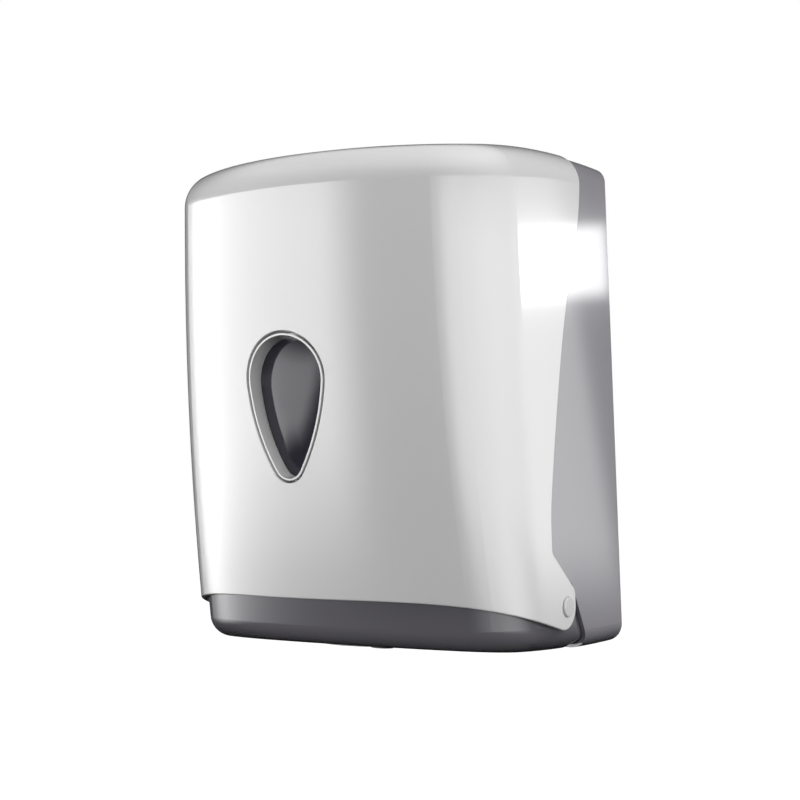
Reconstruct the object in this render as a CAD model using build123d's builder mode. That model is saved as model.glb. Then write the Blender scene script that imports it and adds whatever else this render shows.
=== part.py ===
from build123d import *
from math import asin, atan2, cos, degrees, radians, sin, sqrt, tan
import os

# A wall-hung dispenser for centrefeed paper rolls, in millimetres.
# +X is to the right seen from the front, the wall is the plane Y = 0, the front faces -Y and +Z is up.
# The origin is the centre of the four wall screws. A level is a height above the lowest point.

os.makedirs("parts", exist_ok=True)

# Whole body
height = 350.0
depth = 227.2
width_top = 255.3
width_base = 270.0
mount_drop = 160.0
overrun = 10.0

# Plan of the body: straight sides, two corner arcs each side and one wide front arc
side_draft = 1.0
corner_radius = 78.8
front_edge_radius = 53.7
front_half_sweep = 33.5
front_edge_sweep = 18.5

# The front leans back below this level, and the crown is a wide dome with its summit at a depth
lean_drop = 50.0
lean_depth = 27.6
crown_radius = 810.0
crown_summit = 32.4
crown_round = 24.0
section_count = 6

# The underside rises from the wall to the front
front_rise = 18.2
foot_round = 15.8

# Walls, and the steps between the nested casings
cover_wall = 2.6
shell_wall = 2.6
tray_wall = 2.6
back_plate = 3.0
cover_gap = 0.5
shell_step = cover_wall + cover_gap
shell_crown_round = 10.7
shell_foot_round = 13.0
tray_step = 5.2

# Rear edge of the cover seen from the side: depths from the wall, and shares of the way up from the notch
rear_edge_depths = (46.5, 68.7, 89.4, 103.5, 107.0)
rear_edge_level_shares = (0.929, 0.637, 0.387, 0.156, 0.038)
notch_level = 69.3
notch_round = 5.0
ear_top = (76.3, 42.8)
ear_top_round = 7.0
ear_foot_level = 12.5
ear_foot_round = 16.2
cover_foot_inset = 35.0
cover_foot_level = 43.3
cover_foot_round = 160.0
cover_edge_round = 0.9

# Front edge of the back shell, lapped by the cover and then open beside the tray
shell_lap = 11.0
shell_notch_level = 62.0
shell_notch_round = 8.0
shell_knee = (75.0, 47.0)
shell_knee_round = 8.0
slit_foot = (54.0, 4.5)

# Back of the shell: pockets round a band, wall screws and stiffening ribs
wall_screw_span = (150.0, 200.0)
wall_screw_radius = 2.75
wall_pad_radius = 9.0
wall_pad = 2.5
back_pocket = 1.2
back_pocket_round = 8.0
back_band = 30.0
back_rim = 16.0
back_pocket_foot = 30.0
back_pocket_drop = 32.0
rib_offsets = (-98.0, -45.0, 45.0, 98.0)
rib_width = 2.2
rib_height = 4.0
rib_foot = 45.0
rib_drop = 34.0

# Upper and rear edges of the tray
tray_top_level = 57.0
tray_rear_top = (77.0, 44.0)
tray_rear = (69.2, 33.0)
tray_rear_foot = (65.3, 0.0)
tray_rear_round = 4.0
tray_rear_wall_depth = 71.5

# Lip of the tray that laps inside the back shell behind the slit
lip_gap = 0.5
lip_rear_depth = 50.5
lip_level = 45.0

# Hinge at the two ears of the cover
pin_depth = 89.0
pin_level = 32.5
pin_radius = 4.0
pin_head_radius = 6.75
pin_head_length = 2.2
pin_head_round = 1.3
pin_head_sink = 0.7
pin_head_gap = 0.35
running_gap = 0.05
hinge_boss_radius = 9.0
hinge_boss_length = 12.0
hinge_boss_proud = 0.35
bush_radius = 6.0
bush_flange = 1.4
pin_clip_radius = 7.5
pin_clip_length = 1.4
pin_clip_gap = 0.4
pin_tail = 1.2

# Teardrop window: a round head and a small tip joined by two wide arcs
window_drop = 165.9
window_head_radius = 31.1
window_tip_drop = 53.3
window_tip_radius = 13.8
window_side_radius = 139.0
window_rim_round = 0.4
collar_depth = 11.0
collar_wall = 2.0
collar_taper = 1.2
bezel_gap = 1.7
bezel_wall = 1.2
bezel_sink = 0.5
bezel_foot = 1.2
lens_thickness = 1.6
lens_ledge = 1.5
stack_gap = 0.1
frame_thickness = 1.6
frame_inner_inset = 3.6
frame_outer_ledge = 10.5
peg_offset = 6.0
peg_radius = 1.5
peg_length = 1.6
peg_angles = (45.0, -24.0, 204.0, 135.0)
lens_clip_radius = 3.2
lens_clip_thickness = 0.9

# Cam lock in the crown
lock_depth = 78.0
lock_seat_drop = 2.6
lock_pad_drop = 6.2
lock_pad_radius = 14.0
lock_head_radius = 11.0
lock_head = 1.8
lock_head_round = 0.6
lock_head_gap = 0.5
lock_sleeve_radius = 8.0
lock_sleeve_length = 23.6
lock_nut_flats = 22.0
lock_nut_thickness = 4.0
plug_radius = 6.0
plug_sink = 0.4
plug_proud = 1.0
plug_stud = 6.4
plug_stud_short = 0.2
key_slot = (5.4, 1.5)
key_slot_depth = 7.0
cam_thickness = 2.5
cam_half_width = 4.5
cam_reach = 26.0
cam_washer_radius = 5.5
cam_washer_thickness = 0.7
cam_screw_grip = 9.0

# Keeper that the cam turns behind
keeper_thickness = 3.0
keeper_clear = 0.7
keeper_tip_clear = 1.1
keeper_hook_inner = 12.0
keeper_web_inner = 8.0
keeper_seat_drop = 14.0
keeper_height = 25.0
keeper_hook_height = 14.0
keeper_web_gap = 2.0
keeper_flange_reach = 25.0
keeper_boss_radius = 5.0
keeper_screw_inset = 5.6
keeper_screw_depth = 34.0

# Pan-head screws
screw_radius = 1.75
screw_head_radius = 3.6
screw_head = 2.4
screw_head_round = 1.1
screw_recess = (3.6, 0.9)
screw_recess_depth = 1.2
screw_grip = 6.0
thread_gap = 0.05

# Paper outlet in the middle of the tray
outlet_depth = 103.0
outlet_seat_level = 11.0
outlet_hole_radius = 25.0
nozzle_tip_level = 0.7
nozzle_throat_level = 6.5
nozzle_rim_level = 26.0
nozzle_throat_radius = 10.0
nozzle_rim_radius = 36.0
nozzle_wall = 2.0
nozzle_flange_radius = 43.0
nozzle_flange = 2.4
nozzle_tooth = (4.0, 3.2)
nozzle_tooth_count = 12
ring_inner_radius = 31.0
ring_thickness = 2.2
ring_screw_radius = 37.5
ring_screw_count = 3
ring_screw_grip = 9.0

# Seat ring and ribs of the tray that the roll stands on
seat_radius = 50.0
seat_wall = 2.4
seat_level = 58.0
seat_rib_reach = 84.0
seat_rib_angles = (180.0, 225.0, 270.0, 315.0, 0.0)
seat_rib_sink = 1.6

# Tongue of the tray, screwed to bosses inside the back shell
tongue_half_width = 70.0
tongue_thickness = 3.0
tongue_level = 7.0
tongue_rear = 10.0
tongue_boss_radius = 5.5
tongue_screw_half_span = 60.0
tongue_screw_depths = (20.0, 44.0)

# Levels that follow the height
mount_level = height - mount_drop
lean_level = height - lean_drop
rear_edge_foot = rear_edge_depths[-1]
window_level = height - window_drop
window_tip_level = window_level - window_tip_drop
back_pocket_levels = (back_pocket_foot, height - back_pocket_drop)
rib_levels = (rib_foot, height - rib_drop)
lock_seat_level = height - lock_seat_drop
lock_pad_level = height - lock_pad_drop
lock_sleeve_foot = lock_seat_level - lock_sleeve_length
plug_foot = lock_sleeve_foot - plug_proud
keeper_seat_level = height - keeper_seat_drop
keeper_foot_level = keeper_seat_level - keeper_height


def at(level):
    """Height in the part's own frame of a level above the lowest point."""
    return level - mount_level


def half_width(level):
    """Half the body's width at the wall, which tapers evenly from the base to the top."""
    return (width_base + (width_top - width_base) * level / height) / 2


def lean(level):
    """How far the front has leaned back at a level, on one wide arc."""
    radius = (lean_level**2 + lean_depth**2) / (2 * lean_depth)
    drop = max(lean_level - level, 0)
    return radius - sqrt(radius**2 - drop**2)


def side_at(level, from_wall):
    """Half width of the straight side at a level and a depth from the wall."""
    return half_width(level) - from_wall * tan(radians(side_draft))


def plan_outline(level, inset):
    """D-shaped outline of the body at one level, drawn inward by an inset."""
    half = half_width(level) - inset / cos(radians(side_draft))
    deep = depth - lean(level) - inset
    shrink = (depth - lean(level)) / depth
    edge_r = front_edge_radius * shrink - inset
    corner_r = corner_radius * shrink - inset
    corner_sweep = 90 - side_draft - front_edge_sweep - front_half_sweep
    turn_a = radians(front_half_sweep)
    turn_b = radians(front_half_sweep + front_edge_sweep)
    turn_c = radians(front_half_sweep + front_edge_sweep + corner_sweep)
    edge_x = edge_r * (sin(turn_b) - sin(turn_a))
    edge_y = edge_r * (cos(turn_a) - cos(turn_b))
    corner_x = corner_r * (sin(turn_c) - sin(turn_b))
    corner_y = corner_r * (cos(turn_b) - cos(turn_c))
    slope = tan(radians(side_draft))
    rear = half + overrun * slope
    front_r = (half - edge_x - corner_x - (deep - edge_y - corner_y) * slope) / (
        sin(turn_a) - (1 - cos(turn_a)) * slope
    )
    side = deep - edge_y - corner_y - front_r * (1 - cos(turn_a))
    right = Line((rear, overrun), (half - side * slope, -side))
    corner_1 = JernArc(right @ 1, right % 1, corner_r, -corner_sweep)
    edge_1 = JernArc(corner_1 @ 1, corner_1 % 1, edge_r, -front_edge_sweep)
    front = JernArc(edge_1 @ 1, edge_1 % 1, front_r, -2 * front_half_sweep)
    edge_2 = JernArc(front @ 1, front % 1, edge_r, -front_edge_sweep)
    corner_2 = JernArc(edge_2 @ 1, edge_2 % 1, corner_r, -corner_sweep)
    Line(corner_2 @ 1, (-rear, overrun))
    Line((-rear, overrun), (rear, overrun))


def body_loft(inset):
    """Body without its crown and foot, drawn inward by an inset."""
    step = (height + 2 * overrun) / (section_count - 1)
    with BuildPart() as body:
        for index in range(section_count):
            level = index * step - overrun
            with BuildSketch(Plane.XY.offset(at(level))):
                with BuildLine():
                    plan_outline(level, inset)
                make_face()
        loft()
    return body.part


def above_keel(lift):
    """Outline of all that is above the underside, seen from the side, raised by a lift."""
    keel_r = (depth**2 + front_rise**2) / (2 * front_rise)
    keel = JernArc((0, at(lift)), (-1, 0), keel_r, -degrees(asin((depth + overrun) / keel_r)))
    ceiling = at(height + 2 * overrun)
    Polyline(keel @ 0, (0, ceiling), ((keel @ 1).X, ceiling), keel @ 1)


def rim_edges(body, low, high):
    """Edges of a body between two levels, without those on the wall plane or the keel line."""
    band = body.edges().filter_by_position(Axis.Z, at(low), at(high))
    return band.filter_by(lambda e: abs(e.center().X) > width_top / 4 or e.center().Y < -depth / 2)


def envelope(side, top, base, crown=0, foot=0):
    """Body drawn inward at its sides, top and base, with its crown and foot edges rounded."""
    with BuildPart() as body:
        add(body_loft(side))
        with Locations((0, -crown_summit, at(height - top - crown_radius))):
            Sphere(crown_radius, mode=Mode.INTERSECT)
        with BuildSketch(Plane.YZ):
            with BuildLine():
                above_keel(base)
            make_face()
        extrude(amount=width_base, both=True, mode=Mode.INTERSECT)
        if crown > 0:
            fillet(rim_edges(body, height - 2 * crown_round - top, height), crown)
        if foot > 0:
            fillet(rim_edges(body, 0, 2 * foot_round), foot)
    return body.part


def side_points(*pairs):
    """Points of an outline seen from the side, from depths and levels."""
    return [(-from_wall, at(level)) for from_wall, level in pairs]


def rear_curve(shift):
    """Top and foot of the cover's sweeping rear edge, drawn here moved forward by a shift."""
    climb = height - notch_level
    moved = [
        (-from_wall - shift, at(notch_level + share * climb))
        for from_wall, share in zip(rear_edge_depths, rear_edge_level_shares)
    ]
    start = Line((moved[0][0], at(height + overrun)), moved[0])
    curve = Spline(moved, tangents=((0, -1), (0, -1)))
    return start @ 0, curve @ 1


def cover_side():
    """Outline of the cover seen from the side, with the ear that carries its hinge pin."""
    start, end = rear_curve(0)
    corners = side_points(
        (rear_edge_foot, notch_level),
        ear_top,
        (ear_top[0], ear_foot_level),
        (depth - cover_foot_inset, cover_foot_level),
        (depth + overrun, cover_foot_level),
    )
    rounds = [notch_round, ear_top_round, ear_foot_round, cover_foot_round]
    lower = FilletPolyline(end, *corners, radius=rounds)
    Polyline(lower @ 1, ((lower @ 1).X, start.Y), start)


def shell_side():
    """Outline of the back shell seen from the side, cut back below the cover's lap."""
    start, end = rear_curve(shell_lap)
    corners = side_points((-end.X, shell_notch_level), shell_knee, slit_foot)
    lower = FilletPolyline(end, *corners, radius=[shell_notch_round, shell_knee_round])
    foot = lower @ 1
    Polyline(foot, (foot.X, at(-overrun)), (overrun, at(-overrun)), (overrun, start.Y), start)


def lap_side():
    """Region the cover spans seen from the side, down to its notch."""
    start, end = rear_curve(-cover_gap)
    Polyline(end, (-depth - overrun, end.Y), (-depth - overrun, start.Y), start)


def tray_side():
    """Outline of the tray seen from the side, cut back round the hinge and beside the slit."""
    corners = side_points(
        (depth + overrun, tray_top_level),
        (rear_edge_foot + shell_lap, tray_top_level),
        tray_rear_top,
        tray_rear,
        tray_rear_foot,
        (tray_rear_foot[0], -overrun),
    )
    upper = FilletPolyline(*corners, radius=tray_rear_round)
    Polyline(upper @ 1, ((upper @ 0).X, (upper @ 1).Y), upper @ 0)


def side_face(outline):
    """Face on the middle plane, from an outline seen from the side."""
    with BuildSketch(Plane.YZ) as face:
        with BuildLine():
            outline()
        make_face()
    return face.sketch


def teardrop(offset):
    """Outline of the window, grown or shrunk by an offset."""
    rise = window_level - window_tip_level
    near = window_side_radius - window_head_radius
    far = window_side_radius - window_tip_radius
    lift = (far**2 - near**2) / (2 * rise) - rise / 2
    side_x = sqrt(near**2 - lift**2)
    head_turn = degrees(atan2(-lift, side_x))
    tip_turn = degrees(atan2(-lift - rise, side_x))
    head_z = at(window_level)
    side_r = window_side_radius + offset
    CenterArc((0, head_z), window_head_radius + offset, head_turn, 180 - 2 * head_turn)
    CenterArc((side_x, head_z + lift), side_r, 180 - head_turn, head_turn - tip_turn)
    CenterArc((0, at(window_tip_level)), window_tip_radius + offset, 180 - tip_turn, 180 + 2 * tip_turn)
    CenterArc((-side_x, head_z + lift), side_r, tip_turn, head_turn - tip_turn)


def teardrop_face(offset, from_wall):
    """Teardrop face that looks forward, at a depth from the wall."""
    with BuildSketch(Plane.XZ.offset(from_wall)) as face:
        with BuildLine():
            teardrop(offset)
        make_face()
    return face.sketch


def window_funnel(offset):
    """Tapered teardrop block that narrows from the cover's front towards the lens."""
    slope = collar_taper / collar_depth
    skin = depth - lean(window_level)
    reach = depth - lean(window_tip_level) - collar_depth - frame_outer_ledge
    near = teardrop_face(offset + (depth - skin) * slope, depth)
    far = teardrop_face(offset - (skin - reach) * slope, reach)
    with BuildPart() as block:
        loft([near, far])
    return block.part


def cut_rim(block):
    """Edges left on a body's skin by an outline that cuts straight through it from side to side."""
    cuts = block.faces().filter_by(lambda face: len(face.edges().filter_by(Axis.X)) > 0)
    return ShapeList([edge for face in cuts for edge in face.edges() - face.edges().filter_by(Axis.X)])


def skin_patch(face, outer, inner):
    """Piece of skin between two body surfaces, cut out by a face that looks forward."""
    with BuildPart() as patch:
        extrude(face, amount=depth + overrun)
        add(outer, mode=Mode.INTERSECT)
        add(inner, mode=Mode.SUBTRACT)
    return patch.part


def peg_places():
    """Places of the lens pegs seen from the front, round the head of the window."""
    reach = window_head_radius + peg_offset
    return [
        (reach * cos(radians(angle)), at(window_level) + reach * sin(radians(angle)))
        for angle in peg_angles
    ]


def peg_face(radius, bore=0):
    """Discs or rings at the lens pegs, seen from the front."""
    with BuildSketch(Plane.XZ) as face:
        with Locations(*peg_places()):
            Circle(radius)
            if bore > 0:
                Circle(bore, mode=Mode.SUBTRACT)
    return face.sketch


def pan_screw(grip):
    """Pan-head screw at the origin, its point down and a cross recess in its head."""
    with BuildPart() as screw:
        Cylinder(screw_head_radius, screw_head, align=(Align.CENTER, Align.CENTER, Align.MIN))
        fillet(screw.edges().sort_by(Axis.Z)[-1], screw_head_round)
        with Locations((0, 0, screw_head)):
            for length, width in (screw_recess, screw_recess[::-1]):
                Box(length, width, 2 * screw_recess_depth, mode=Mode.SUBTRACT)
        Cylinder(screw_radius, grip, align=(Align.CENTER, Align.CENTER, Align.MAX))
    return screw.part


# Surfaces that the casings share

cover_outer = envelope(0, 0, -overrun, crown_round)
cover_inner = envelope(cover_wall, cover_wall, -overrun, crown_round - cover_wall)
shell_outer = envelope(shell_step, shell_step, 0, shell_crown_round, shell_foot_round)
shell_inner = envelope(
    shell_step + shell_wall,
    shell_step + shell_wall,
    shell_wall,
    shell_crown_round - shell_wall,
    shell_foot_round - shell_wall,
)
tray_outer = envelope(tray_step, 0, 0, 0, foot_round)
tray_inner = envelope(tray_step + tray_wall, 0, tray_wall, 0, foot_round - tray_wall)
tray_fill = envelope(
    tray_step + tray_wall - seat_rib_sink,
    0,
    tray_wall - seat_rib_sink,
    0,
    foot_round - tray_wall + seat_rib_sink,
)
shell_fill = envelope(
    shell_step + shell_wall / 2,
    shell_step + shell_wall / 2,
    shell_wall / 2,
    shell_crown_round - shell_wall / 2,
    shell_foot_round - shell_wall / 2,
)
cover_profile = side_face(cover_side)
shell_profile = side_face(shell_side)
tray_profile = side_face(tray_side)
lap_profile = side_face(lap_side)
lap_step = shell_step - cover_gap / 2

# Places that more than one piece uses

pin_seat = side_at(pin_level, pin_depth) - pin_head_sink
boss_face = side_at(pin_level, pin_depth) - tray_step + hinge_boss_proud
boss_foot = boss_face - hinge_boss_length
foot_front = collar_depth + stack_gap
foot_back = foot_front + bezel_foot
lens_front = foot_back + stack_gap
lens_back = lens_front + lens_thickness
frame_front = lens_back + stack_gap
frame_back = frame_front + frame_thickness
clip_front = frame_back + stack_gap
clip_back = clip_front + lens_clip_thickness
cam_foot = plug_foot - cam_thickness
washer_foot = cam_foot - cam_washer_thickness
outlet_axis = Axis((0, -outlet_depth, 0), (0, 0, 1))
seat_outer = seat_radius + seat_wall
tongue_top = tongue_level + tongue_thickness
flange_top = outlet_seat_level + nozzle_flange
ring_top = flange_top + ring_thickness
tray_screw_places = [
    (side * tongue_screw_half_span, -from_wall, at(tongue_top))
    for side in (-1, 1)
    for from_wall in tongue_screw_depths
]
keeper_outer = cam_reach + keeper_tip_clear + keeper_thickness
keeper_front = lock_depth + cam_half_width + keeper_clear
keeper_web_depth = lock_depth - cam_reach - keeper_web_gap
keeper_screw_places = [
    (keeper_web_inner + keeper_screw_inset, -keeper_screw_depth, at(keeper_seat_level - keeper_thickness)),
    (keeper_outer - keeper_screw_inset, -keeper_screw_depth, at(keeper_seat_level - keeper_thickness)),
]


# Front cover

with BuildPart() as collar_block:
    add(window_funnel(collar_wall))
    add(body_loft(collar_depth), mode=Mode.SUBTRACT)

with BuildPart() as cover_pegs:
    add(skin_patch(peg_face(peg_radius), cover_outer, body_loft(clip_front + peg_length)))

with BuildPart() as cover_cavity:
    add(cover_inner)
    add(collar_block.part, mode=Mode.SUBTRACT)
    add(cover_pegs.part, mode=Mode.SUBTRACT)
    with Locations((0, -lock_depth, at(lock_pad_level))):
        Cylinder(
            lock_pad_radius,
            height - lock_pad_level,
            align=(Align.CENTER, Align.CENTER, Align.MIN),
            mode=Mode.SUBTRACT,
        )

with BuildPart() as front_cover:
    add(cover_outer)
    extrude(cover_profile, amount=width_base, both=True, mode=Mode.INTERSECT)
    fillet(cut_rim(front_cover), cover_edge_round)
    add(window_funnel(0), mode=Mode.SUBTRACT)
    window_edges = front_cover.edges().filter_by_position(
        Axis.Z, at(window_tip_level - 2 * window_tip_radius), at(window_level + 2 * window_head_radius)
    )
    window_edges = window_edges.filter_by(lambda e: abs(e.center().X) < window_head_radius)
    front_line = -depth + lean(window_tip_level) + collar_depth
    fillet(window_edges.filter_by(lambda e: e.center().Y < front_line), window_rim_round)
    add(cover_cavity.part, mode=Mode.SUBTRACT)
    with Locations((0, -lock_depth, at(lock_seat_level))):
        Cylinder(
            lock_head_radius + lock_head_gap,
            overrun,
            align=(Align.CENTER, Align.CENTER, Align.MIN),
            mode=Mode.SUBTRACT,
        )
        Cylinder(lock_sleeve_radius + running_gap, 2 * overrun, mode=Mode.SUBTRACT)
    with BuildSketch(Plane.YZ):
        with Locations((-pin_depth, at(pin_level))):
            Circle(pin_radius + running_gap)
    extrude(amount=width_base, both=True, mode=Mode.SUBTRACT)
    for side in (-1, 1):
        with Locations((side * (pin_seat + overrun / 2), -pin_depth, at(pin_level))):
            Cylinder(pin_head_radius + pin_head_gap, overrun, rotation=(0, 90, 0), mode=Mode.SUBTRACT)
front_cover.part.label = "front_cover"
export_step(front_cover.part, "parts/front_cover.step")

# Window: the bezel inside the cover's collar, the lens, and the frame and clips that hold both on the pegs

with BuildPart() as window_bezel:
    add(window_funnel(-bezel_gap))
    add(body_loft(bezel_sink), mode=Mode.INTERSECT)
    add(skin_patch(teardrop_face(lens_ledge, 0), body_loft(foot_front), body_loft(foot_back)))
    add(window_funnel(-bezel_gap - bezel_wall), mode=Mode.SUBTRACT)
    add(body_loft(foot_back), mode=Mode.SUBTRACT)
window_bezel.part.label = "window_bezel"
export_step(window_bezel.part, "parts/window_bezel.step")

with BuildPart() as window_lens:
    add(skin_patch(teardrop_face(lens_ledge, 0), body_loft(lens_front), body_loft(lens_back)))
window_lens.part.label = "window_lens"
export_step(window_lens.part, "parts/window_lens.step")

with BuildSketch(Plane.XZ) as frame_face:
    add(teardrop_face(frame_outer_ledge, 0))
    add(teardrop_face(-frame_inner_inset, 0), mode=Mode.SUBTRACT)
    add(peg_face(peg_radius + running_gap), mode=Mode.SUBTRACT)

with BuildPart() as lens_frame:
    add(skin_patch(frame_face.sketch, body_loft(frame_front), body_loft(frame_back)))
lens_frame.part.label = "lens_frame"
export_step(lens_frame.part, "parts/lens_frame.step")

with BuildPart() as lens_clips:
    add(
        skin_patch(
            peg_face(lens_clip_radius, peg_radius + running_gap),
            body_loft(clip_front),
            body_loft(clip_back),
        )
    )
lens_clips.part.label = "lens_clips"
export_step(lens_clips.part, "parts/lens_clips.step")

# Back shell

with BuildPart() as shell_cavity:
    add(shell_inner)
    split(bisect_by=Plane.XZ.offset(back_plate), keep=Keep.TOP)

with BuildPart() as lap_relief:
    add(shell_outer)
    extrude(lap_profile, amount=width_base, both=True, mode=Mode.INTERSECT)
    add(envelope(lap_step, lap_step, -overrun, crown_round - lap_step), mode=Mode.SUBTRACT)

with BuildPart() as shell_bosses:
    with BuildSketch(Plane.XY.offset(at(0))):
        for place_x, place_y, place_z in tray_screw_places:
            with Locations((place_x, place_y)):
                Circle(tongue_boss_radius)
    extrude(amount=tongue_level)
    with BuildSketch(Plane.XY.offset(at(keeper_seat_level))):
        for place_x, place_y, place_z in keeper_screw_places:
            with Locations((place_x, place_y)):
                Circle(keeper_boss_radius)
    extrude(amount=height - keeper_seat_level)
    add(shell_fill, mode=Mode.INTERSECT)

with BuildPart() as back_shell:
    add(shell_outer)
    extrude(shell_profile, amount=width_base, both=True, mode=Mode.INTERSECT)
    add(lap_relief.part, mode=Mode.SUBTRACT)
    add(shell_cavity.part, mode=Mode.SUBTRACT)
    with BuildSketch(Plane.XZ.offset(back_plate)):
        with GridLocations(wall_screw_span[0], wall_screw_span[1], 2, 2):
            Circle(wall_pad_radius)
    extrude(amount=wall_pad)
    with BuildSketch(Plane.XZ.offset(back_plate)):
        for offset_x in rib_offsets:
            with Locations((offset_x, at(sum(rib_levels) / 2))):
                Rectangle(rib_width, rib_levels[1] - rib_levels[0])
    extrude(amount=rib_height)
    pocket_width = half_width(height / 2) - shell_step - back_rim - back_band / 2
    low, high = back_pocket_levels
    band_levels = (mount_level - back_band / 2, mount_level + back_band / 2)
    with BuildSketch(Plane.XZ):
        for bottom, top in ((low, band_levels[0]), (band_levels[1], high)):
            for side in (-1, 1):
                with Locations((side * (back_band + pocket_width) / 2, at((bottom + top) / 2))):
                    RectangleRounded(pocket_width, top - bottom, back_pocket_round)
        with GridLocations(wall_screw_span[0], wall_screw_span[1], 2, 2):
            Circle(wall_pad_radius, mode=Mode.SUBTRACT)
    extrude(amount=back_pocket, mode=Mode.SUBTRACT)
    with BuildSketch(Plane.XZ):
        with GridLocations(wall_screw_span[0], wall_screw_span[1], 2, 2):
            Circle(wall_screw_radius)
    extrude(amount=back_plate + wall_pad, mode=Mode.SUBTRACT)
    add(shell_bosses.part)
    for place_x, place_y, place_z in tray_screw_places:
        with Locations((place_x, place_y, place_z - screw_grip)):
            Cylinder(
                screw_radius + thread_gap,
                2 * screw_grip,
                align=(Align.CENTER, Align.CENTER, Align.MIN),
                mode=Mode.SUBTRACT,
            )
    for place_x, place_y, place_z in keeper_screw_places:
        with Locations((place_x, place_y, place_z + screw_grip)):
            Cylinder(
                screw_radius + thread_gap,
                2 * screw_grip,
                align=(Align.CENTER, Align.CENTER, Align.MAX),
                mode=Mode.SUBTRACT,
            )
back_shell.part.label = "back_shell"
export_step(back_shell.part, "parts/back_shell.step")

# Tray that closes the base, carries the hinge and holds the roll up

with BuildPart() as tray_cavity:
    add(tray_inner)
    split(bisect_by=Plane.XZ.offset(tray_rear_wall_depth), keep=Keep.TOP)

lip_step = shell_step + shell_wall + lip_gap
lip_lift = shell_wall + lip_gap
with BuildPart() as lip_core:
    add(envelope(lip_step + tray_wall, 0, lip_lift + tray_wall, 0, shell_foot_round - lip_lift - tray_wall))

with BuildPart() as tray_lip:
    add(envelope(lip_step, 0, lip_lift, 0, shell_foot_round - lip_lift))
    add(lip_core.part, mode=Mode.SUBTRACT)
    split(bisect_by=Plane.XY.offset(at(lip_level)), keep=Keep.BOTTOM)
    split(bisect_by=Plane.XZ.offset(lip_rear_depth), keep=Keep.TOP)
    split(bisect_by=Plane.XZ.offset(tray_rear_wall_depth), keep=Keep.BOTTOM)

with BuildPart() as roll_ribs:
    for angle in seat_rib_angles:
        plane = Plane((0, -outlet_depth, at(0)), x_dir=(cos(radians(angle)), sin(radians(angle)), 0))
        with BuildSketch(plane):
            with Locations(((seat_radius + seat_rib_reach) / 2, 0)):
                Rectangle(seat_rib_reach - seat_radius, seat_wall)
        extrude(amount=seat_level)
    add(tray_fill, mode=Mode.INTERSECT)

with BuildPart() as seat_block:
    with BuildSketch(Plane.XY.offset(at(0))):
        with Locations((0, -outlet_depth)):
            Circle(seat_outer)
    extrude(amount=outlet_seat_level)
    add(tray_fill, mode=Mode.INTERSECT)
    extrude(tray_profile, amount=width_base, both=True, mode=Mode.INTERSECT)

with BuildPart() as base_tray:
    add(tray_outer)
    extrude(tray_profile, amount=width_base, both=True, mode=Mode.INTERSECT)
    add(tray_cavity.part, mode=Mode.SUBTRACT)
    add(tray_lip.part)
    with BuildSketch(Plane.XY.offset(at(tongue_level))):
        with Locations((0, -tongue_rear)):
            Rectangle(
                2 * tongue_half_width,
                tray_rear_wall_depth - tongue_rear,
                align=(Align.CENTER, Align.MAX),
            )
    extrude(amount=tongue_thickness)
    add(seat_block.part)
    with Locations((0, -outlet_depth, at(outlet_seat_level))):
        Cylinder(
            seat_radius,
            seat_level,
            align=(Align.CENTER, Align.CENTER, Align.MIN),
            mode=Mode.SUBTRACT,
        )
    add(roll_ribs.part)
    with BuildSketch(Plane.XY.offset(at(tongue_level))):
        with Locations((0, -outlet_depth)):
            Circle(seat_outer)
            Circle(seat_radius, mode=Mode.SUBTRACT)
    extrude(amount=seat_level - tongue_level)
    for side in (-1, 1):
        with Locations((side * (boss_face + boss_foot) / 2, -pin_depth, at(pin_level))):
            Cylinder(hinge_boss_radius, hinge_boss_length, rotation=(0, 90, 0))
            Cylinder(bush_radius, hinge_boss_length + overrun, rotation=(0, 90, 0), mode=Mode.SUBTRACT)
    with Locations((0, -outlet_depth, at(0))):
        Cylinder(outlet_hole_radius, 4 * outlet_seat_level, mode=Mode.SUBTRACT)
        with PolarLocations(ring_screw_radius, ring_screw_count, start_angle=90):
            with Locations((0, 0, ring_top - ring_screw_grip)):
                Cylinder(
                    screw_radius + thread_gap,
                    2 * ring_screw_grip,
                    align=(Align.CENTER, Align.CENTER, Align.MIN),
                    mode=Mode.SUBTRACT,
                )
    for place in tray_screw_places:
        with Locations(place):
            Cylinder(screw_radius + thread_gap, 4 * tongue_thickness, mode=Mode.SUBTRACT)
base_tray.part.label = "base_tray"
export_step(base_tray.part, "parts/base_tray.step")

# Screws of the tray and of the nozzle's ring

with BuildPart() as tray_screws:
    with Locations(*tray_screw_places):
        add(pan_screw(screw_grip))
tray_screws.part.label = "tray_screws"
export_step(tray_screws.part, "parts/tray_screws.step")

with BuildPart() as nozzle_screws:
    with Locations((0, -outlet_depth, at(ring_top))):
        with PolarLocations(ring_screw_radius, ring_screw_count, start_angle=90):
            add(pan_screw(ring_screw_grip))
nozzle_screws.part.label = "nozzle_screws"
export_step(nozzle_screws.part, "parts/nozzle_screws.step")

# Paper nozzle: a funnel with a toothed throat, held down by a ring


def cone_radius(level):
    """Inner radius of the funnel at a level."""
    climb = (level - nozzle_throat_level) / (nozzle_rim_level - nozzle_throat_level)
    return nozzle_throat_radius + (nozzle_rim_radius - nozzle_throat_radius) * climb


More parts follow.
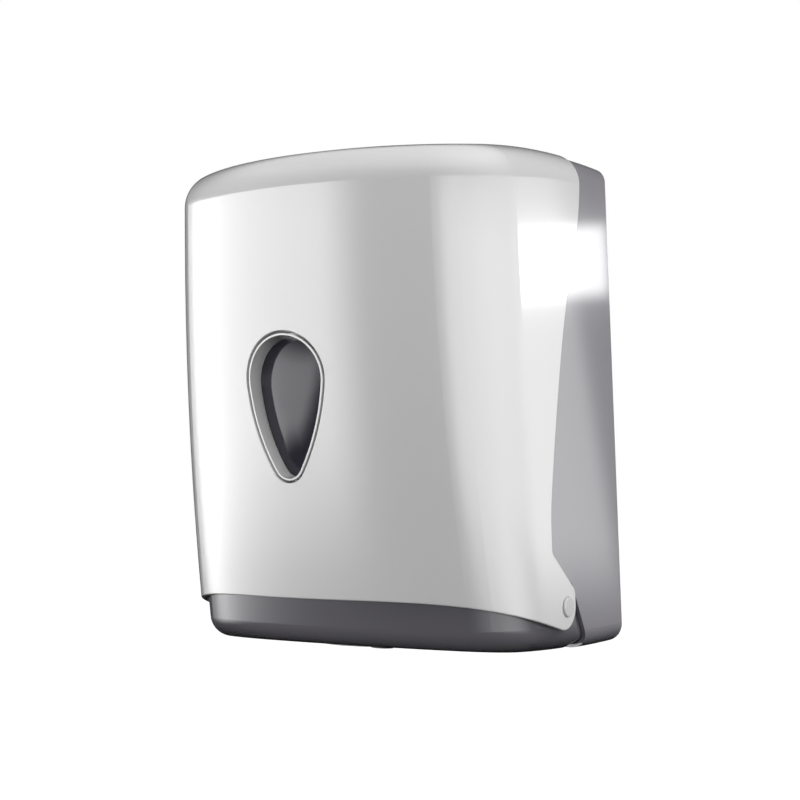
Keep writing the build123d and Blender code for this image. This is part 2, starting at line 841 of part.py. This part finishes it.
with BuildPart() as paper_nozzle:
    with BuildSketch(Plane.XZ.offset(outlet_depth)):
        with BuildLine():
            Polyline(
                (nozzle_throat_radius, at(nozzle_tip_level)),
                (nozzle_throat_radius, at(nozzle_throat_level)),
                (nozzle_rim_radius, at(nozzle_rim_level)),
                (nozzle_rim_radius + nozzle_wall, at(nozzle_rim_level)),
                (cone_radius(outlet_seat_level + nozzle_flange) + nozzle_wall, at(flange_top)),
                (nozzle_flange_radius, at(flange_top)),
                (nozzle_flange_radius, at(outlet_seat_level)),
                (cone_radius(outlet_seat_level) + nozzle_wall, at(outlet_seat_level)),
                (nozzle_throat_radius + nozzle_wall, at(nozzle_throat_level)),
                (nozzle_throat_radius + nozzle_wall, at(nozzle_tip_level)),
                close=True,
            )
        make_face()
    revolve(axis=outlet_axis)
    for index in range(nozzle_tooth_count):
        turn = radians(index * 360 / nozzle_tooth_count)
        facing = Plane((0, -outlet_depth, at(nozzle_tip_level)), z_dir=(cos(turn), sin(turn), 0))
        with BuildSketch(facing):
            with BuildLine():
                Polyline(
                    (-nozzle_tooth[0] / 2, 0),
                    (nozzle_tooth[0] / 2, 0),
                    (0, nozzle_tooth[1]),
                    close=True,
                )
            make_face()
        extrude(amount=nozzle_throat_radius + overrun, mode=Mode.SUBTRACT)
    with Locations((0, -outlet_depth, at(outlet_seat_level))):
        with PolarLocations(ring_screw_radius, ring_screw_count, start_angle=90):
            Cylinder(screw_radius + thread_gap, 4 * nozzle_flange, mode=Mode.SUBTRACT)
paper_nozzle.part.label = "paper_nozzle"
export_step(paper_nozzle.part, "parts/paper_nozzle.step")

with BuildPart() as nozzle_ring:
    with BuildSketch(Plane.XY.offset(at(flange_top))):
        with Locations((0, -outlet_depth)):
            Circle(nozzle_flange_radius)
            Circle(ring_inner_radius, mode=Mode.SUBTRACT)
            with PolarLocations(ring_screw_radius, ring_screw_count, start_angle=90):
                Circle(screw_radius + thread_gap, mode=Mode.SUBTRACT)
    extrude(amount=ring_thickness)
nozzle_ring.part.label = "nozzle_ring"
export_step(nozzle_ring.part, "parts/nozzle_ring.step")

# Hinge: a bush in each boss of the tray, and a pin in each ear of the cover

clip_face = boss_foot - pin_clip_gap
pin_end = clip_face - pin_clip_length - pin_tail
for side, name in ((-1, "left"), (1, "right")):
    with BuildPart() as hinge_bush:
        with Locations((side * (boss_face + boss_foot) / 2, -pin_depth, at(pin_level))):
            Cylinder(bush_radius, hinge_boss_length, rotation=(0, 90, 0))
        with Locations((side * (boss_face + bush_flange / 2), -pin_depth, at(pin_level))):
            Cylinder(hinge_boss_radius, bush_flange, rotation=(0, 90, 0))
        with Locations((side * boss_face, -pin_depth, at(pin_level))):
            Cylinder(pin_radius + running_gap, 4 * hinge_boss_length, rotation=(0, 90, 0), mode=Mode.SUBTRACT)
    hinge_bush.part.label = f"hinge_bush_{name}"
    export_step(hinge_bush.part, f"parts/hinge_bush_{name}.step")

    with BuildPart() as hinge_pin:
        with Locations((side * (pin_seat + pin_end) / 2, -pin_depth, at(pin_level))):
            Cylinder(pin_radius, pin_seat - pin_end, rotation=(0, 90, 0))
        with Locations((side * (pin_seat + pin_head_length / 2), -pin_depth, at(pin_level))):
            Cylinder(pin_head_radius, pin_head_length, rotation=(0, 90, 0))
        rims = hinge_pin.edges().filter_by(GeomType.CIRCLE).sort_by(Axis.X)
        fillet(rims[-1] if side > 0 else rims[0], pin_head_round)
    hinge_pin.part.label = f"hinge_pin_{name}"
    export_step(hinge_pin.part, f"parts/hinge_pin_{name}.step")

    with BuildPart() as pin_clip:
        with Locations((side * (clip_face - pin_clip_length / 2), -pin_depth, at(pin_level))):
            Cylinder(pin_clip_radius, pin_clip_length, rotation=(0, 90, 0))
            Cylinder(pin_radius + running_gap, 2 * pin_clip_length, rotation=(0, 90, 0), mode=Mode.SUBTRACT)
    pin_clip.part.label = f"pin_clip_{name}"
    export_step(pin_clip.part, f"parts/pin_clip_{name}.step")

# Lock: a sleeve and nut in the cover, and a plug that turns the cam

with BuildPart() as lock_body:
    with Locations((0, -lock_depth, at(lock_seat_level))):
        Cylinder(lock_head_radius, lock_head, align=(Align.CENTER, Align.CENTER, Align.MIN))
    fillet(lock_body.edges().sort_by(Axis.Z)[-1], lock_head_round)
    with Locations((0, -lock_depth, at(lock_sleeve_foot))):
        Cylinder(
            lock_sleeve_radius,
            lock_seat_level - lock_sleeve_foot,
            align=(Align.CENTER, Align.CENTER, Align.MIN),
        )
        Cylinder(plug_radius + running_gap, height, mode=Mode.SUBTRACT)
lock_body.part.label = "lock_body"
export_step(lock_body.part, "parts/lock_body.step")

with BuildPart() as lock_nut:
    with BuildSketch(Plane.XY.offset(at(lock_pad_level - lock_nut_thickness))):
        with Locations((0, -lock_depth)):
            RegularPolygon(lock_nut_flats / 2, side_count=6, major_radius=False)
            Circle(lock_sleeve_radius + running_gap, mode=Mode.SUBTRACT)
    extrude(amount=lock_nut_thickness)
lock_nut.part.label = "lock_nut"
export_step(lock_nut.part, "parts/lock_nut.step")

plug_top = lock_seat_level + lock_head - plug_sink
with BuildPart() as lock_plug:
    with Locations((0, -lock_depth, at(plug_foot))):
        Cylinder(plug_radius, plug_top - plug_foot, align=(Align.CENTER, Align.CENTER, Align.MIN))
    with BuildSketch(Plane.XY.offset(at(plug_foot))):
        with Locations((0, -lock_depth)):
            Rectangle(plug_stud, plug_stud)
    extrude(amount=-(cam_thickness - plug_stud_short))
    with BuildSketch(Plane.XY.offset(at(plug_top))):
        with Locations((0, -lock_depth)):
            Rectangle(key_slot[1], key_slot[0])
    extrude(amount=-key_slot_depth, mode=Mode.SUBTRACT)
    with Locations((0, -lock_depth, at(washer_foot))):
        Cylinder(
            screw_radius + thread_gap,
            cam_screw_grip,
            align=(Align.CENTER, Align.CENTER, Align.MIN),
            mode=Mode.SUBTRACT,
        )
lock_plug.part.label = "lock_plug"
export_step(lock_plug.part, "parts/lock_plug.step")

with BuildPart() as lock_cam:
    with BuildSketch(Plane.XY.offset(at(cam_foot))):
        with Locations((0, -lock_depth)):
            Circle(plug_radius)
            Rectangle(2 * cam_half_width, cam_reach, align=(Align.CENTER, Align.MIN))
            Rectangle(plug_stud + 2 * running_gap, plug_stud + 2 * running_gap, mode=Mode.SUBTRACT)
    extrude(amount=cam_thickness)
    tips = lock_cam.edges().filter_by(Axis.Z).sort_by(Axis.Y)[-2:]
    fillet(tips, cam_half_width / 2)
lock_cam.part.label = "lock_cam"
export_step(lock_cam.part, "parts/lock_cam.step")

with BuildPart() as cam_washer:
    with BuildSketch(Plane.XY.offset(at(washer_foot))):
        with Locations((0, -lock_depth)):
            Circle(cam_washer_radius)
            Circle(screw_radius + thread_gap, mode=Mode.SUBTRACT)
    extrude(amount=cam_washer_thickness)
cam_washer.part.label = "cam_washer"
export_step(cam_washer.part, "parts/cam_washer.step")

with BuildPart() as cam_screw:
    with Locations(Location((0, -lock_depth, at(washer_foot)), (180, 0, 0))):
        add(pan_screw(cam_screw_grip))
cam_screw.part.label = "cam_screw"
export_step(cam_screw.part, "parts/cam_screw.step")

# Keeper that the cam turns behind, screwed up into the back shell

with BuildPart() as lock_keeper:
    with BuildSketch(Plane.XY.offset(at(keeper_foot_level))):
        with Locations((keeper_outer, -keeper_front - keeper_thickness)):
            Rectangle(keeper_outer - keeper_hook_inner, keeper_thickness, align=(Align.MAX, Align.MIN))
            Rectangle(
                keeper_thickness,
                keeper_front + keeper_thickness - keeper_web_depth + keeper_thickness,
                align=(Align.MAX, Align.MIN),
            )
    extrude(amount=keeper_hook_height)
    with BuildSketch(Plane.XY.offset(at(keeper_foot_level))):
        with Locations((keeper_outer, -keeper_web_depth)):
            Rectangle(keeper_outer - keeper_web_inner, keeper_thickness, align=(Align.MAX, Align.MIN))
    extrude(amount=keeper_seat_level - keeper_foot_level)
    with BuildSketch(Plane.XY.offset(at(keeper_seat_level))):
        with Locations((keeper_outer, -keeper_web_depth)):
            Rectangle(keeper_outer - keeper_web_inner, keeper_flange_reach, align=(Align.MAX, Align.MIN))
        for place_x, place_y, place_z in keeper_screw_places:
            with Locations((place_x, place_y)):
                Circle(screw_radius + thread_gap, mode=Mode.SUBTRACT)
    extrude(amount=-keeper_thickness)
lock_keeper.part.label = "lock_keeper"
export_step(lock_keeper.part, "parts/lock_keeper.step")

with BuildPart() as keeper_screws:
    for place in keeper_screw_places:
        with Locations(Location(place, (180, 0, 0))):
            add(pan_screw(screw_grip))
keeper_screws.part.label = "keeper_screws"
export_step(keeper_screws.part, "parts/keeper_screws.step")
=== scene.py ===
import math

import bpy
from mathutils import Matrix, Vector


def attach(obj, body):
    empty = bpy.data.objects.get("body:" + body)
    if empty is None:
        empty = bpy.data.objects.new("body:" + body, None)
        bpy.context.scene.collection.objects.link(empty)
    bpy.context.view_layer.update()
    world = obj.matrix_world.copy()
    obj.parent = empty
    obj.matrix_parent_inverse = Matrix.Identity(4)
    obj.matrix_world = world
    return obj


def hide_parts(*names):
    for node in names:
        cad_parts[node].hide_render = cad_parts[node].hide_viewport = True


# A centrefeed roll dispenser on its wall screws. Lengths are in metres and angles in degrees. +X is
# right seen from the front, -Y is forward, +Z is up, and the origin is the centre of the four screws.

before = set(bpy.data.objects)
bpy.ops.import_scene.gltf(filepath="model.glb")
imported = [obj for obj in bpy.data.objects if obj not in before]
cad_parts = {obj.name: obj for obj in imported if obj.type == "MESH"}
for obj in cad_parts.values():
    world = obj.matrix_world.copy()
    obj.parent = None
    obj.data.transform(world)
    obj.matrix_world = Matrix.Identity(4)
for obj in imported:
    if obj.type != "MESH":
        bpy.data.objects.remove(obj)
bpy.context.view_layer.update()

MM = 0.001

# Camera where the photograph was taken from, right of the front and a little below the middle. Lens
# and sensor are in millimetres, and the shifts are shares of the picture.
CAMERA_AIM = Vector((0, -0.113, -0.015))
CAMERA_DISTANCE = 1.1
CAMERA_AZIMUTH = 32.83
CAMERA_CLIMB = 1.83
CAMERA_ROLL = -0.83
CAMERA_LENS = 71.0
CAMERA_SENSOR = 36.0
CAMERA_SHIFT_X = 0.0298
CAMERA_SHIFT_Y = -0.0038
CAMERA_NEAR = 0.01
CAMERA_FAR = 30.0

# Window lens: how far its front bulges, in how many rings, and the last ring's share of the rim.
# Doubles nearer than the merge distance are one vertex, faces that look forward by at least the
# front share are the flat front, and edges under the smooth angle are rounded.
LENS_BULGE = 2.8 * MM
LENS_RINGS = 12
LENS_TIP = 0.02
LENS_MERGE = 0.01 * MM
LENS_FRONT = 0.7
LENS_SMOOTH = 40

# Finishes: refraction, the clear skin's roughness, how wide the slow patterns are, how much they
# darken the colour, and how much the fine ones vary the roughness, as shares
PLASTIC_IOR = 1.5
ACRYLIC_IOR = 1.49
SKIN_ROUGHNESS = 0.04
FLOW_SIZE = 60 * MM
SMOKE_SIZE = 25 * MM
HAZE_SIZE = 3 * MM
FLOW_DARKENING = 0.01
SMOKE_DARKENING = 0.2
PLASTIC_VARIATION = 0.1
ACRYLIC_VARIATION = 0.2
METAL_VARIATION = 0.3

# Sockets of a mix node for its two colours and its result, which share their names with others
MIX_FIRST = 6
MIX_SECOND = 7
MIX_RESULT = 2

# Floor, as far down as under a dispenser on a wall, and the share of white that it glows with for
# the camera alone
FLOOR_LEVEL = -1.2
FLOOR_SIZE = 40.0
FLOOR_COLOUR = "EEEEEE"
FLOOR_ROUGHNESS = 0.8
FLOOR_GLOW = 0.70

# Soft boxes that the gloss mirrors: azimuths from the front towards +X and heights above the
# horizon, where each opens over the first two values and closes over the last two, its strength as
# a multiple of white, and how far its azimuth leans as it rises
SOFT_BOXES = {
    "left_box": ((-110, -90, -18, 10), (-24, -5, 8, 14), 3.4, 0.0),
    "right_box": ((32, 60, 95, 140), (-22, -5, 8, 14), 2.7, 0.0),
    "rear_box": ((95, 140, 152.9, 153.6), (-6, -2, 8, 14), 1.4, 0.1),
    "rear_lamp": ((148, 149, 153.7, 153.95), (6.0, 6.8, 8.6, 9.2), 5.0, 0.0),
}

# Light that comes up with height: the two heights that it grows between, and its strength
RISING_LIGHTS = {
    "room": ((-25, 0), 0.08),
    "ceiling": ((30, 50), 0.5),
}

# Lamps high on the right, behind the wall's plane, and high in front: place, size and watts
HIGH_LAMPS = {
    "right_lamp": ((1.48, 0.69, 1.15), 0.7, 15),
    "front_lamp": ((-0.25, -1.1, 1.7), 0.5, 7),
}
LAMP_TARGET = Vector((0, -0.1, 0))


def linear(hex_colour):
    """An sRGB hex colour as the linear values that a shader takes."""
    values = [int(hex_colour[i:i + 2], 16) / 255 for i in (0, 2, 4)]
    return tuple(v / 12.92 if v <= 0.04045 else ((v + 0.055) / 1.055) ** 2.4 for v in values) + (1.0,)


def darker(colour, share):
    """A linear colour, darker by a share."""
    return tuple(v * (1 - share) for v in colour[:3]) + (1.0,)


def set_inputs(tree, node, inputs):
    """Give each input of a node its value, or the socket that feeds it."""
    for name, value in inputs.items():
        if isinstance(value, bpy.types.NodeSocket):
            tree.links.new(value, node.inputs[name])
        else:
            node.inputs[name].default_value = value


def add_node(tree, kind, settings=None, inputs=None):
    """Add a node with its settings, and the values and links of its inputs."""
    node = tree.nodes.new(kind)
    for name, value in (settings or {}).items():
        setattr(node, name, value)
    set_inputs(tree, node, inputs or {})
    return node


def new_material(name):
    """A material with an empty tree, and its surface shader."""
    material = bpy.data.materials.new(name)
    material.use_nodes = True
    tree = material.node_tree
    tree.nodes.clear()
    shader = add_node(tree, "ShaderNodeBsdfPrincipled")
    add_node(tree, "ShaderNodeOutputMaterial", inputs={"Surface": shader.outputs["BSDF"]})
    return material, tree, shader


def moulded_plastic(name, colour, roughness, grain_size, grain_depth, skin=0.0):
    """Injection-moulded plastic: even colour, a faint flow mottle and the mould's fine texture.

    The real texture is finer than the render can show, so it is drawn about a millimetre coarse.
    """
    material, tree, shader = new_material(name)
    place = add_node(tree, "ShaderNodeTexCoord").outputs["Object"]
    flow = add_node(tree, "ShaderNodeTexNoise",
                    inputs={"Vector": place, "Scale": 1 / FLOW_SIZE, "Detail": 2.0})
    tint = add_node(tree, "ShaderNodeMix", {"data_type": "RGBA"},
                    {"Factor": flow.outputs["Fac"],
                     MIX_FIRST: darker(linear(colour), FLOW_DARKENING), MIX_SECOND: linear(colour)})
    grain = add_node(tree, "ShaderNodeTexNoise",
                     inputs={"Vector": place, "Scale": 1 / grain_size, "Detail": 3.0})
    gloss = add_node(tree, "ShaderNodeMapRange",
                     inputs={"Value": grain.outputs["Fac"],
                             "To Min": roughness * (1 - PLASTIC_VARIATION),
                             "To Max": roughness * (1 + PLASTIC_VARIATION)})
    relief = add_node(tree, "ShaderNodeBump",
                      inputs={"Height": grain.outputs["Fac"], "Strength": 1.0, "Distance": grain_depth})
    set_inputs(tree, shader, {
        "Base Color": tint.outputs[MIX_RESULT], "Roughness": gloss.outputs["Result"],
        "Normal": relief.outputs["Normal"], "IOR": PLASTIC_IOR,
        "Coat Weight": skin, "Coat Roughness": SKIN_ROUGHNESS,
    })
    return material


def smoked_acrylic(name, colour, roughness):
    """Polished smoked acrylic, whose shade drifts a little with its thickness."""
    material, tree, shader = new_material(name)
    place = add_node(tree, "ShaderNodeTexCoord").outputs["Object"]
    smoke = add_node(tree, "ShaderNodeTexNoise",
                     inputs={"Vector": place, "Scale": 1 / SMOKE_SIZE, "Detail": 2.0})
    tint = add_node(tree, "ShaderNodeMix", {"data_type": "RGBA"},
                    {"Factor": smoke.outputs["Fac"],
                     MIX_FIRST: darker(linear(colour), SMOKE_DARKENING), MIX_SECOND: linear(colour)})
    haze = add_node(tree, "ShaderNodeTexNoise",
                    inputs={"Vector": place, "Scale": 1 / HAZE_SIZE, "Detail": 3.0})
    gloss = add_node(tree, "ShaderNodeMapRange",
                     inputs={"Value": haze.outputs["Fac"],
                             "To Min": roughness * (1 - ACRYLIC_VARIATION),
                             "To Max": roughness * (1 + ACRYLIC_VARIATION)})
    set_inputs(tree, shader, {
        "Base Color": tint.outputs[MIX_RESULT], "Roughness": gloss.outputs["Result"],
        "IOR": ACRYLIC_IOR,
    })
    return material


def plated_metal(name, colour, roughness, grain_size):
    """Plated metal, whose polish varies with the plating's grain, drawn coarse enough to show."""
    material, tree, shader = new_material(name)
    place = add_node(tree, "ShaderNodeTexCoord").outputs["Object"]
    grain = add_node(tree, "ShaderNodeTexNoise",
                     inputs={"Vector": place, "Scale": 1 / grain_size, "Detail": 4.0})
    gloss = add_node(tree, "ShaderNodeMapRange",
                     inputs={"Value": grain.outputs["Fac"],
                             "To Min": roughness * (1 - METAL_VARIATION),
                             "To Max": roughness * (1 + METAL_VARIATION)})
    set_inputs(tree, shader, {
        "Base Color": linear(colour), "Metallic": 1.0, "Roughness": gloss.outputs["Result"],
    })
    return material


# Polished white ABS of the cover: bright and even, with sharp reflections under a clear skin
white_abs = moulded_plastic("glossy_white_abs", "EEEEEE", 0.12, 1.4 * MM, 0.003 * MM, skin=1.0)
# Polished grey ABS of the shell: the same gloss over a mid grey with a trace of violet
grey_abs = moulded_plastic("glossy_grey_abs", "98969C", 0.12, 1.4 * MM, 0.003 * MM, skin=1.0)
# Polished grey ABS of the tray, darker than the shell's as painted shade for its dim downward faces,
# and mirroring less than the shell does
tray_abs_painted_shade = moulded_plastic("glossy_grey_abs_painted_shade", "77757B", 0.14, 1.4 * MM, 0.003 * MM, skin=0.6)
# Moulded acetal of the lens frame and bushes: a milky grey with a soft, waxy sheen
inner_acetal = moulded_plastic("matt_grey_acetal", "B4B4B4", 0.45, 0.8 * MM, 0.01 * MM)
# Moulded polypropylene of the nozzle: near black, with a dull sheen that its grain breaks up
black_pp = moulded_plastic("black_polypropylene", "17171A", 0.4, 0.8 * MM, 0.02 * MM)
# Smoked acrylic of the lens: a dark pane with a violet cast, which mirrors the soft boxes
lens_acrylic = smoked_acrylic("smoked_acrylic", "3F3D48", 0.08)
# Zinc plated steel of the screws and clips: a cool grey shine, blurred and slightly cloudy
zinc_steel = plated_metal("zinc_plated_steel", "B9BABC", 0.32, 1.2 * MM)
# Chromed zinc casting of the lock: bright and close to a mirror
chrome = plated_metal("chromed_zinc", "D0D2D4", 0.12, 2.0 * MM)

# Finish of each CAD node. The screws, clips, cam, washer and keeper are all zinc plated steel.
FINISH = {
    "front_cover": white_abs,
    "window_bezel": white_abs,
    "hinge_pin_left": white_abs,
    "hinge_pin_right": white_abs,
    "back_shell": grey_abs,
    "base_tray": tray_abs_painted_shade,
    "lens_frame": inner_acetal,
    "hinge_bush_left": inner_acetal,
    "hinge_bush_right": inner_acetal,
    "paper_nozzle": black_pp,
    "nozzle_ring": black_pp,
    "window_lens": lens_acrylic,
    "lock_body": chrome,
    "lock_nut": chrome,
    "lock_plug": chrome,
}


def domed_lens():
    """Window lens with a bulging front, drawn in from the flat one's rim ring by ring."""
    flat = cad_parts["window_lens"]
    mesh = flat.data.copy()
    dome = bpy.data.objects.new("domed_lens", mesh)
    bpy.context.collection.objects.link(dome)
    bpy.ops.object.select_all(action="DESELECT")
    bpy.context.view_layer.objects.active = dome
    dome.select_set(True)

    # One closed skin, without the flat lens's own shading
    bpy.ops.mesh.customdata_custom_splitnormals_clear()
    bpy.ops.object.mode_set(mode="EDIT")
    bpy.ops.mesh.select_all(action="SELECT")
    bpy.ops.mesh.remove_doubles(threshold=LENS_MERGE)
    bpy.ops.mesh.select_all(action="DESELECT")
    bpy.ops.object.mode_set(mode="OBJECT")

    # The flat front comes off, which leaves its rim as the only open edge
    for face in mesh.polygons:
        face.select = face.normal.y < -LENS_FRONT
    front = {index for face in mesh.polygons if face.select for index in face.vertices}
    peak = min(mesh.vertices[index].co.y for index in front) - LENS_BULGE
    bpy.ops.object.mode_set(mode="EDIT")
    bpy.ops.mesh.delete(type="FACE")
    bpy.ops.mesh.select_all(action="DESELECT")
    bpy.ops.mesh.select_mode(type="EDGE")
    bpy.ops.mesh.select_non_manifold()
    bpy.ops.object.mode_set(mode="OBJECT")
    heights = [vertex.co.z for vertex in mesh.vertices if vertex.select]
    top_of_bulge = (0, peak, (max(heights) + min(heights)) / 2)

    # Each ring is nearer to the middle, and nearer to the peak by the square of that
    bpy.ops.object.mode_set(mode="EDIT")
    share = 1.0
    for smaller in [1 - ring / LENS_RINGS for ring in range(1, LENS_RINGS)] + [LENS_TIP]:
        inwards = smaller / share
        bpy.ops.mesh.extrude_edges_move()
        bpy.ops.transform.resize(value=(inwards, inwards ** 2, inwards), center_override=top_of_bulge)
        share = smaller
    bpy.ops.mesh.merge(type="CENTER")
    bpy.ops.mesh.select_mode(type="VERT")
    bpy.ops.mesh.select_all(action="SELECT")
    bpy.ops.mesh.normals_make_consistent(inside=False)
    bpy.ops.object.mode_set(mode="OBJECT")
    bpy.ops.object.shade_smooth_by_angle(angle=math.radians(LENS_SMOOTH))

    mesh.materials.clear()
    mesh.materials.append(lens_acrylic)
    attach(dome, "cover")
    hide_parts("window_lens")


def camera():
    """Camera at the photograph's place, turned by its roll."""
    azimuth, climb, roll = (math.radians(v) for v in (CAMERA_AZIMUTH, CAMERA_CLIMB, CAMERA_ROLL))
    ahead = Vector((-math.sin(azimuth) * math.cos(climb), math.cos(azimuth) * math.cos(climb),
                    math.sin(climb)))
    right = Vector((math.cos(azimuth), math.sin(azimuth), 0))
    up = right.cross(ahead)
    rolled_right = right * math.cos(roll) + up * math.sin(roll)
    rolled_up = up * math.cos(roll) - right * math.sin(roll)
    data = bpy.data.cameras.new("camera")
    data.lens = CAMERA_LENS
    data.sensor_width = CAMERA_SENSOR
    data.shift_x = CAMERA_SHIFT_X
    data.shift_y = CAMERA_SHIFT_Y
    data.clip_start = CAMERA_NEAR
    data.clip_end = CAMERA_FAR
    item = bpy.data.objects.new("camera", data)
    bpy.context.collection.objects.link(item)
    turn = Matrix((rolled_right, rolled_up, -ahead)).transposed().to_4x4()
    item.matrix_world = Matrix.Translation(CAMERA_AIM - ahead * CAMERA_DISTANCE) @ turn
    bpy.context.scene.camera = item


def light_window(tree, direction, edges):
    """Soft window on a direction, which opens over its first two edges and closes over its last two."""
    open_from, open_to, close_from, close_to = edges
    opening = add_node(tree, "ShaderNodeMapRange", {"interpolation_type": "SMOOTHSTEP"},
                       {"Value": direction, "From Min": open_from, "From Max": open_to})
    closing = add_node(tree, "ShaderNodeMapRange", {"interpolation_type": "SMOOTHSTEP"},
                       {"Value": direction, "From Min": close_to, "From Max": close_from})
    return add_node(tree, "ShaderNodeMath", {"operation": "MULTIPLY"},
                    {0: opening.outputs["Result"], 1: closing.outputs["Result"]}).outputs["Value"]


def studio():
    """Surroundings of the studio: soft boxes, a lit ceiling, and plain white for the camera."""
    world = bpy.data.worlds.new("studio")
    bpy.context.scene.world = world
    world.use_nodes = True
    tree = world.node_tree
    tree.nodes.clear()
    direction = add_node(tree, "ShaderNodeTexCoord").outputs["Generated"]
    parts = add_node(tree, "ShaderNodeSeparateXYZ", inputs={"Vector": direction})
    forward = add_node(tree, "ShaderNodeMath", {"operation": "MULTIPLY"},
                       {0: parts.outputs["Y"], 1: -1.0}).outputs["Value"]
    turn = add_node(tree, "ShaderNodeMath", {"operation": "ARCTAN2"},
                    {0: parts.outputs["X"], 1: forward}).outputs["Value"]
    rise = parts.outputs["Z"]

    # Each light is added to the ones before it
    light = 0.0
    for heights, strength in RISING_LIGHTS.values():
        low, high = (math.sin(math.radians(v)) for v in heights)
        growing = add_node(tree, "ShaderNodeMapRange", {"interpolation_type": "SMOOTHSTEP"},
                           {"Value": rise, "From Min": low, "From Max": high}).outputs["Result"]
        light = add_node(tree, "ShaderNodeMath", {"operation": "MULTIPLY_ADD"},
                         {0: growing, 1: strength, 2: light}).outputs["Value"]
    for azimuths, heights, strength, lean in SOFT_BOXES.values():
        leaning = add_node(tree, "ShaderNodeMath", {"operation": "MULTIPLY_ADD"},
                           {0: rise, 1: lean, 2: turn}).outputs["Value"]
        across = light_window(tree, leaning, [math.radians(v) for v in azimuths])
        upward = light_window(tree, rise, [math.sin(math.radians(v)) for v in heights])
        box = add_node(tree, "ShaderNodeMath", {"operation": "MULTIPLY"},
                       {0: across, 1: upward}).outputs["Value"]
        light = add_node(tree, "ShaderNodeMath", {"operation": "MULTIPLY_ADD"},
                         {0: box, 1: strength, 2: light}).outputs["Value"]

    lit = add_node(tree, "ShaderNodeBackground", inputs={"Color": (1, 1, 1, 1), "Strength": light})
    white = add_node(tree, "ShaderNodeBackground", inputs={"Color": (1, 1, 1, 1), "Strength": 1.0})
    rays = add_node(tree, "ShaderNodeLightPath")
    either = add_node(tree, "ShaderNodeMixShader",
                      inputs={0: rays.outputs["Is Camera Ray"],
                              1: lit.outputs["Background"], 2: white.outputs["Background"]})
    add_node(tree, "ShaderNodeOutputWorld", inputs={"Surface": either.outputs["Shader"]})


def high_lamps():
    """Soft square lamps above the object, kept out of its reflections."""
    for name, (place, size, watts) in HIGH_LAMPS.items():
        data = bpy.data.lights.new(name, "AREA")
        data.size = size
        data.energy = watts
        item = bpy.data.objects.new(name, data)
        bpy.context.collection.objects.link(item)
        item.location = place
        item.rotation_euler = (LAMP_TARGET - Vector(place)).to_track_quat("-Z", "Y").to_euler()
        item.visible_glossy = False


def floor():
    """Wide pale floor, which neither lights the object nor shows in its gloss."""
    bpy.ops.object.select_all(action="DESELECT")
    bpy.ops.mesh.primitive_plane_add(size=FLOOR_SIZE, location=(0, 0, FLOOR_LEVEL))
    plane = bpy.context.active_object
    plane.name = "floor"
    bpy.ops.object.transform_apply(location=True, rotation=True, scale=True)
    # Matt pale vinyl: plain near white to the camera, and it keeps the dispenser's shadow
    material, tree, shader = new_material("matt_pale_vinyl")
    rays = add_node(tree, "ShaderNodeLightPath")
    seen = add_node(tree, "ShaderNodeMath", {"operation": "MAXIMUM"},
                    {0: rays.outputs["Is Camera Ray"], 1: rays.outputs["Is Transmission Ray"]})
    glow = add_node(tree, "ShaderNodeMath", {"operation": "MULTIPLY"},
                    {0: seen.outputs["Value"], 1: FLOOR_GLOW})
    set_inputs(tree, shader, {
        "Base Color": linear(FLOOR_COLOUR), "Roughness": FLOOR_ROUGHNESS,
        "Emission Color": (1, 1, 1, 1), "Emission Strength": glow.outputs["Value"],
    })
    plane.data.materials.append(material)
    plane.visible_diffuse = False
    plane.visible_glossy = False


for name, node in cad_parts.items():
    node.data.materials.clear()
    node.data.materials.append(FINISH.get(name, zinc_steel))
domed_lens()

camera()
studio()
high_lamps()
floor()

bpy.context.scene.view_settings.view_transform = "Standard"
